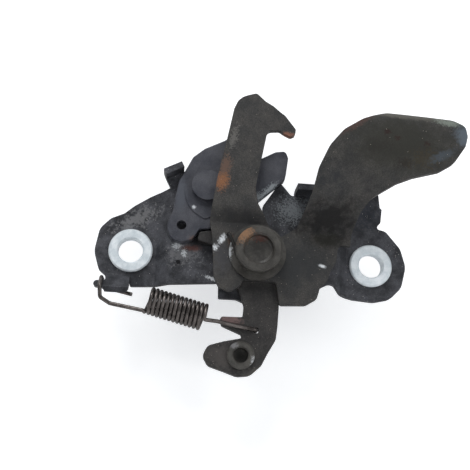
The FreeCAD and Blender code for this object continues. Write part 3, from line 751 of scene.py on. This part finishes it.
@dataclass(frozen=True)
class Grit:
    """Grains of dirt stuck to the front faces of one node.

    Sizes are in millimetres and the density is in grains to the square millimetre. Of a
    noise from 0 to 1, only places above the patchiness keep their grains.
    """

    node: str
    body: Body
    density: float
    seed: int
    colour: Colour
    smallest: float = 0.08
    largest: float = 0.2
    patchiness: float = 0.5
    patch_scale: float = 140.0
    front_limit: float = -0.8
    specular: float = 0.2

    def inputs(self) -> dict[str, tuple[str, float | int | bpy.types.Material]]:
        """List the tree's named inputs.

        Returns:
            For each name, the socket's type and its value.
        """
        dirt = worn_metal(Finish(f"{self.node}_dirt", self.colour, self.colour, self.colour,
                                 specular=self.specular))
        return {
            "Density": ("NodeSocketFloat", self.density / MM ** 2),
            "Smallest": ("NodeSocketFloat", self.smallest * MM),
            "Largest": ("NodeSocketFloat", self.largest * MM),
            "Patchiness": ("NodeSocketFloat", self.patchiness),
            "Seed": ("NodeSocketInt", self.seed),
            "Material": ("NodeSocketMaterial", dirt),
        }

    def points(self, nodes: Nodes, given: bpy.types.Node) -> Socket:
        """Scatter points on the faces that look forward, and thin them by noise.

        Args:
            nodes: The tree.
            given: The tree's input node.

        Returns:
            The points.
        """
        normal = nodes.add("GeometryNodeInputNormal")
        split = nodes.add("ShaderNodeSeparateXYZ")
        front = nodes.add("FunctionNodeCompare", data_type="FLOAT", operation="LESS_THAN")
        nodes.wire(self.front_limit, front.inputs["B"])
        nodes.wire(normal.outputs["Normal"], split.inputs[0])
        nodes.wire(split.outputs["Y"], front.inputs["A"])
        scattered = nodes.add("GeometryNodeDistributePointsOnFaces")
        nodes.wire(given.outputs["Geometry"], scattered.inputs["Mesh"])
        nodes.wire(front.outputs["Result"], scattered.inputs["Selection"])
        nodes.wire(given.outputs["Density"], scattered.inputs["Density"])
        nodes.wire(given.outputs["Seed"], scattered.inputs["Seed"])
        place = nodes.add("GeometryNodeInputPosition")
        noise = nodes.add("ShaderNodeTexNoise")
        nodes.wire(self.patch_scale, noise.inputs["Scale"])
        nodes.wire(place.outputs["Position"], noise.inputs["Vector"])
        bare = nodes.add("FunctionNodeCompare", data_type="FLOAT", operation="LESS_THAN")
        nodes.wire(noise.outputs["Fac"], bare.inputs["A"])
        nodes.wire(given.outputs["Patchiness"], bare.inputs["B"])
        thinned = nodes.add("GeometryNodeDeleteGeometry", domain="POINT")
        nodes.wire(scattered.outputs["Points"], thinned.inputs["Geometry"])
        nodes.wire(bare.outputs["Result"], thinned.inputs["Selection"])
        return thinned.outputs["Geometry"]

    def tree(self, inputs: dict[str, tuple]) -> bpy.types.NodeTree:
        """Build the tree that puts a grain, turned and sized at random, on each point.

        Args:
            inputs: The named inputs, each with its socket's type and its value.

        Returns:
            The node group.
        """
        tree = bpy.data.node_groups.new(f"{self.node}_grit", "GeometryNodeTree")
        tree.interface.new_socket("Geometry", in_out="INPUT",
                                  socket_type="NodeSocketGeometry")
        for name, (kind, _) in inputs.items():
            tree.interface.new_socket(name, in_out="INPUT", socket_type=kind)
        tree.interface.new_socket("Geometry", in_out="OUTPUT",
                                  socket_type="NodeSocketGeometry")
        nodes = Nodes(tree)
        given = nodes.add("NodeGroupInput")
        points = self.points(nodes, given)
        grain = nodes.add("GeometryNodeMeshIcoSphere")
        nodes.wire(1.0, grain.inputs["Radius"])
        nodes.wire(1, grain.inputs["Subdivisions"])
        size = nodes.add("FunctionNodeRandomValue", data_type="FLOAT")
        nodes.wire(given.outputs["Smallest"], size.inputs[2])
        nodes.wire(given.outputs["Largest"], size.inputs[3])
        turn = nodes.add("FunctionNodeRandomValue", data_type="FLOAT_VECTOR")
        nodes.wire((math.tau,) * 3, turn.inputs[1])
        placed = nodes.add("GeometryNodeInstanceOnPoints")
        nodes.wire(points, placed.inputs["Points"])
        nodes.wire(grain.outputs["Mesh"], placed.inputs["Instance"])
        nodes.wire(turn.outputs[0], placed.inputs["Rotation"])
        nodes.wire(size.outputs[1], placed.inputs["Scale"])
        real = nodes.add("GeometryNodeRealizeInstances")
        nodes.wire(placed.outputs["Instances"], real.inputs[0])
        painted = nodes.add("GeometryNodeSetMaterial")
        nodes.wire(real.outputs[0], painted.inputs["Geometry"])
        nodes.wire(given.outputs["Material"], painted.inputs["Material"])
        nodes.wire(painted.outputs[0], nodes.add("NodeGroupOutput").inputs["Geometry"])
        return tree

    def build(self, piece: bpy.types.Object) -> None:
        """Scatter the grains over a piece, as one plain mesh that rides on its body.

        Args:
            piece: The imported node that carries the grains.
        """
        host = bpy.data.objects.new(f"{self.node}_host", piece.data.copy())
        bpy.context.scene.collection.objects.link(host)
        inputs = self.inputs()
        tree = self.tree(inputs)
        scatter = host.modifiers.new("grit", "NODES")
        scatter.node_group = tree
        for item in tree.interface.items_tree:
            if item.in_out == "INPUT" and item.name in inputs:
                scatter[item.identifier] = inputs[item.name][1]
        graph = bpy.context.evaluated_depsgraph_get()
        mesh = bpy.data.meshes.new_from_object(host.evaluated_get(graph))
        grains = bpy.data.objects.new(f"{self.node}_grit", mesh)
        bpy.context.scene.collection.objects.link(grains)
        bpy.data.objects.remove(host)
        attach(grains, self.body.value)
        log.info("%s_grit: %d faces", self.node, len(mesh.polygons))


@dataclass(frozen=True)
class SpringBend:
    """A spring that is held by the frame at one end and by a moving body at the other.

    The start and end are in millimetres.
    """

    node: str
    body: Body
    start: Point
    end: Point

    def build(self, piece: bpy.types.Object) -> None:
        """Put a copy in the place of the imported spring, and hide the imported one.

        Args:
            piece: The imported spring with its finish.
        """
        spring = bpy.data.objects.new(f"{self.node}_wire", piece.data.copy())
        bpy.context.scene.collection.objects.link(spring)
        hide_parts(self.node)
        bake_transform(spring)
        log.info("%s_wire: bends with %s", self.node, self.body.value)


@dataclass
class SubAssembly:
    """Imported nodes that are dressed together, with their dirt and their springs."""

    finishes: dict[str, Finish]
    grit: tuple[Grit, ...] = ()
    springs: tuple[SpringBend, ...] = ()

    def build(self, nodes: dict[str, bpy.types.Object]) -> None:
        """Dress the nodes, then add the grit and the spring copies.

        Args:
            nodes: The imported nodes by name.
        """
        for name, finish in self.finishes.items():
            materials = nodes[name].data.materials
            materials.clear()
            materials.append(worn_metal(finish))
            log.info("%s: %s", name, finish.name)
        for extra in (*self.grit, *self.springs):
            extra.build(nodes[extra.node])


@dataclass
class Plate(SubAssembly):
    """The base plate and its two zinc collars."""

    finishes: dict[str, Finish] = field(default_factory=lambda: {
        "base_plate": BASE_FINISH,
        "left_mount_collar": ZINC_FINISH,
        "right_mount_collar": ZINC_FINISH,
    })
    grit: tuple[Grit, ...] = (
        Grit("base_plate", Body.FRAME, 0.16, 11, rgb(150, 148, 146)),
    )


@dataclass
class Claw(SubAssembly):
    """The claw on its rivet, with its torsion spring."""

    finishes: dict[str, Finish] = field(default_factory=lambda: {
        "claw": CLAW_FINISH,
        "claw_rivet": CLAW_FINISH,
        "claw_spring": PIVOT_SPRING_FINISH,
    })
    springs: tuple[SpringBend, ...] = (
        SpringBend("claw_spring", Body.CLAW, (0.0, -12.5, 0.0), (0.0, -11.3, 0.0)),
    )


@dataclass
class SafetyCatch(SubAssembly):
    """The safety catch on the main rivet, with its washers and its torsion spring."""

    finishes: dict[str, Finish] = field(default_factory=lambda: {
        "safety_catch": CATCH_FINISH,
        "safety_catch_spring": PIVOT_SPRING_FINISH,
        "main_rivet": RIVET_FINISH,
        "pivot_washer": RIVET_FINISH,
        "rear_washer": RIVET_FINISH,
    })
    grit: tuple[Grit, ...] = (
        Grit("safety_catch", Body.CATCH, 0.05, 23, rgb(140, 132, 124), largest=0.16),
    )
    springs: tuple[SpringBend, ...] = (
        SpringBend("safety_catch_spring", Body.CATCH, (0.0, -17.2, 0.0), (0.0, -13.6, 0.0)),
    )


@dataclass
class Pawl(SubAssembly):
    """The pawl lever with its cable bush and its extension spring."""

    finishes: dict[str, Finish] = field(default_factory=lambda: {
        "pawl_lever": LEVER_FINISH,
        "cable_bush": BUSH_FINISH,
        "pawl_spring": SPRING_FINISH,
    })
    grit: tuple[Grit, ...] = (
        Grit("pawl_lever", Body.PAWL, 0.2, 37, rgb(130, 122, 116), largest=0.15),
    )
    springs: tuple[SpringBend, ...] = (
        SpringBend("pawl_spring", Body.PAWL, (-40.0, -9.0, -20.5), (-17.5, -9.0, -25.9)),
    )


def main() -> None:
    """Load the frame, dress each sub-assembly, and set the camera and the studio."""
    logging.basicConfig(level=logging.INFO, format="%(message)s")
    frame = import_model()
    for part in (Plate(), Claw(), SafetyCatch(), Pawl()):
        part.build(frame["nodes"])
    Camera().build()
    Studio().build()


if __name__ == "__main__":
    main()
